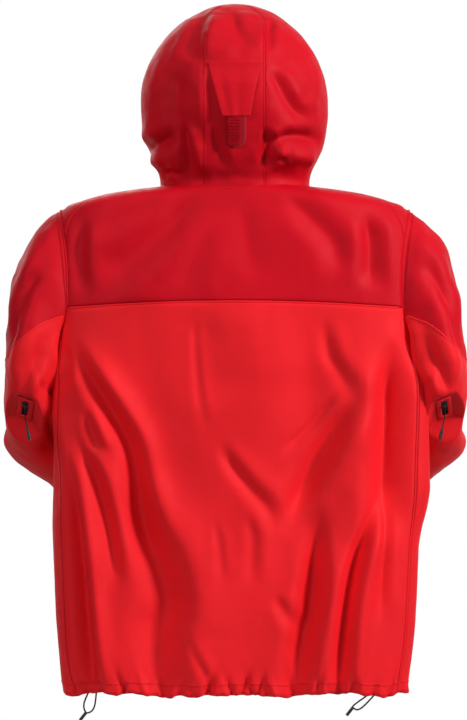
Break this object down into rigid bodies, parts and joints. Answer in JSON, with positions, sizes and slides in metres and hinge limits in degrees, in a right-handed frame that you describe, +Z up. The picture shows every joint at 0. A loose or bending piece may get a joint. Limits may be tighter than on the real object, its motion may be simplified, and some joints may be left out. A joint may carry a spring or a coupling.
{
  "type": "hardshell jacket",
  "caption": "hooded waterproof shell jacket in its worn shape, sleeves bent forward, with zips, a back hood adjuster, cuff tabs and hem cord locks",
  "frame": {"origin": "inner top of the hanger loop at the centre back neck", "axes": "+Z up, the jacket faces -Y, the wearer's left is +X"},
  "size_m": [0.7, 0.3951, 1.0838],
  "materials": {
    "red_upper": "matt face of a three-layer laminate, crimson",
    "red_body": "matt face of a three-layer laminate, orange red",
    "pocket_mesh": "fine knitted mesh",
    "black_tape": "woven tape",
    "red_webbing": "ribbed webbing",
    "loop_patch": "brushed loop",
    "black_plastic": "moulded, lightly grained",
    "black_cord": "braided elastic",
    "dark_metal": "black paint"
  },
  "bodies": {
    "shell": {"collar": "red_upper", "back_yoke": "red_upper", "back_panel": "red_body", "hem_facing": "red_body", "hem_drawcord": "black_cord", "storm_flap": "red_body", "zip_tapes": "black_tape", "zip_teeth": "black_plastic", "zip_top_stops": "black_plastic", "zip_bottom_box": "black_plastic", "hanger_loop": "black_tape", "hem_cord_locks": "black_plastic", "hem_loop_ends": "black_plastic", "front_yoke_left": "red_upper", "front_yoke_right": "red_upper", "front_panel_left": "red_body", "front_panel_right": "red_body", "side_panel_left": "red_body", "side_panel_right": "red_body", "upper_sleeve_left": "red_upper", "upper_sleeve_right": "red_upper", "pocket_zip_left": "black_tape", "pocket_zip_right": "black_tape", "pocket_bag_left": "pocket_mesh", "pocket_bag_right": "pocket_mesh", "side_zip_left": "black_tape", "side_zip_right": "black_tape", "hem_loop_left": "black_cord", "hem_loop_right": "black_cord"},
    "hood": {"hood_centre_panel": "red_upper", "hood_side_panel_left": "red_upper", "hood_side_panel_right": "red_upper", "hood_brim": "red_upper", "hood_eyelets": "black_plastic", "adjuster_loop_patch": "loop_patch"},
    "hood_adjuster": {"adjuster_flap": "red_upper", "adjuster_strap": "red_webbing"},
    "main_slider": {"zip_slider": "dark_metal"},
    "main_pull": {"zip_pull": "dark_metal"},
    "forearm_left": {"lower_sleeve_left": "red_body", "cuff_band_left": "red_body", "cuff_loop_patch_left": "loop_patch"},
    "cuff_strap_left": {"cuff_tab_left": "black_plastic"},
    "pocket_slider_left": {"pocket_slider_left": "dark_metal"},
    "pocket_pull_left": {"pocket_pull_left": "dark_metal"},
    "side_slider_left": {"side_zip_slider_left": "dark_metal", "side_zip_cord_left": "black_cord", "side_zip_tip_left": "black_plastic"},
    "lock_button_left": {"hem_lock_button_left": "black_plastic"},
    "forearm_right": {"lower_sleeve_right": "red_body", "cuff_band_right": "red_body", "cuff_loop_patch_right": "loop_patch"},
    "cuff_strap_right": {"cuff_tab_right": "black_plastic"},
    "pocket_slider_right": {"pocket_slider_right": "dark_metal"},
    "pocket_pull_right": {"pocket_pull_right": "dark_metal"},
    "side_slider_right": {"side_zip_slider_right": "dark_metal", "side_zip_cord_right": "black_cord", "side_zip_tip_right": "black_plastic"},
    "lock_button_right": {"hem_lock_button_right": "black_plastic"}
  },
  "joints": [
    {"name": "hood_tilt", "type": "hinge", "parent": "shell", "child": "hood", "pos_m": [0, -0.006, 0.016], "axis": [1, 0, 0], "range_deg": [-20, 0]},
    {"name": "adjuster_lift", "type": "hinge", "parent": "hood", "child": "hood_adjuster", "pos_m": [0, 0.0623, 0.186], "axis": [1, 0, 0], "range_deg": [0, 70]},
    {"name": "main_zip", "type": "slide", "parent": "shell", "child": "main_slider", "axis": [0, 0, -1], "range_m": [0, 0.7865]},
    {"name": "main_pull_swing", "type": "hinge", "parent": "main_slider", "child": "main_pull", "pos_m": [0, -0.1494, 0.0485], "axis": [-1, 0, 0], "range_deg": [0, 165]},
    {"name": "elbow_left", "type": "hinge", "parent": "shell", "child": "forearm_left", "pos_m": [0.33592, -0.10537, -0.39952], "axis": [0.6633, -0.7423, 0.0946], "range_deg": [0, 30]},
    {"name": "cuff_tab_left", "type": "hinge", "parent": "forearm_left", "child": "cuff_strap_left", "pos_m": [0.19358, -0.28376, -0.52651], "axis": [-0.6088, -0.6088, -0.5086], "range_deg": [0, 100]},
    {"name": "pocket_zip_left", "type": "slide", "parent": "shell", "child": "pocket_slider_left", "axis": [0, 0, -1], "range_m": [0, 0.153]},
    {"name": "pocket_pull_swing_left", "type": "hinge", "parent": "pocket_slider_left", "child": "pocket_pull_left", "pos_m": [0.17652, -0.13847, -0.344], "axis": [-0.9851, -0.1722, 0], "range_deg": [0, 165]},
    {"name": "side_zip_left", "type": "slide", "parent": "shell", "child": "side_slider_left", "axis": [0.1258, -0.8377, -0.5314], "range_m": [0, 0.0235]},
    {"name": "lock_press_left", "type": "slide", "parent": "shell", "child": "lock_button_left", "axis": [0.4067, 0.9135, 0], "range_m": [0, 0.0025], "stiffness_N_per_m": 600},
    {"name": "elbow_right", "type": "hinge", "parent": "shell", "child": "forearm_right", "pos_m": [-0.33592, -0.10537, -0.39952], "axis": [0.6633, 0.7423, -0.0946], "range_deg": [0, 30]},
    {"name": "cuff_tab_right", "type": "hinge", "parent": "forearm_right", "child": "cuff_strap_right", "pos_m": [-0.19358, -0.28376, -0.52651], "axis": [-0.6088, 0.6088, 0.5086], "range_deg": [0, 100]},
    {"name": "pocket_zip_right", "type": "slide", "parent": "shell", "child": "pocket_slider_right", "axis": [0, 0, -1], "range_m": [0, 0.153]},
    {"name": "pocket_pull_swing_right", "type": "hinge", "parent": "pocket_slider_right", "child": "pocket_pull_right", "pos_m": [-0.17652, -0.13847, -0.344], "axis": [-0.9851, 0.1722, 0], "range_deg": [0, 165]},
    {"name": "side_zip_right", "type": "slide", "parent": "shell", "child": "side_slider_right", "axis": [-0.1258, -0.8377, -0.5314], "range_m": [0, 0.0235]},
    {"name": "lock_press_right", "type": "slide", "parent": "shell", "child": "lock_button_right", "axis": [-0.4067, 0.9135, 0], "range_m": [0, 0.0025], "stiffness_N_per_m": 600}
  ]
}
